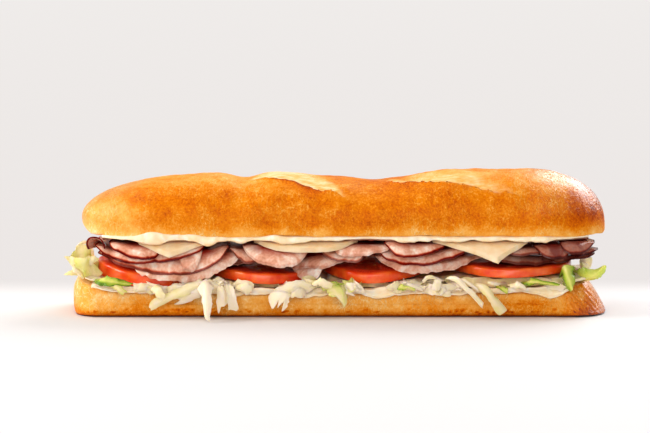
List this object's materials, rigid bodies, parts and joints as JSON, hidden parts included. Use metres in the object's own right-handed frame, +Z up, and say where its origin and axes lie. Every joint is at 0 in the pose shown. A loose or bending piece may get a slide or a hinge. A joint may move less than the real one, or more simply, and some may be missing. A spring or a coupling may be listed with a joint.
{
  "type": "ham and swiss sandwich",
  "caption": "Long crusty roll, scored and golden, filled with folded ham, swiss cheese, tomato slices, shredded lettuce and mayonnaise, lying flat.",
  "frame": {"origin": "middle of the flat underside of the lower half of the roll, on the table", "axes": "+X along the roll, -Y towards the open front that shows the filling, +Z up"},
  "size_m": [0.3139, 0.1062, 0.0823],
  "materials": {
    "crust": "golden-brown egg-washed bread crust, paler where it was cut, soft sheen",
    "mayonnaise": "wet cream-coloured mayonnaise",
    "lettuce": "moist, thin iceberg lettuce, from cream to bright green",
    "tomato": "wet red tomato with orange-red skin",
    "ham": "moist pink cured ham with a dark smoked rind along its edges",
    "cheese": "smooth ivory swiss cheese with a slight sheen"
  },
  "bodies": {
    "root": {"bread_lid": "crust", "bread_heel": "crust", "tomato_1": "tomato", "tomato_2": "tomato", "tomato_3": "tomato", "tomato_4": "tomato", "ham_01": "ham", "ham_02": "ham", "ham_03": "ham", "ham_04": "ham", "ham_05": "ham", "ham_06": "ham", "ham_07": "ham", "ham_08": "ham", "ham_09": "ham", "ham_10": "ham", "ham_11": "ham", "ham_12": "ham", "ham_13": "ham", "ham_14": "ham", "ham_15": "ham", "ham_16": "ham", "ham_17": "ham", "ham_18": "ham", "ham_19": "ham", "ham_20": "ham", "ham_curl": "ham", "cheese_1": "cheese", "cheese_2": "cheese", "cheese_3": "cheese", "mayonnaise_upper": "mayonnaise", "mayonnaise_lower": "mayonnaise", "lettuce": "lettuce"}
  },
  "joints": []
}
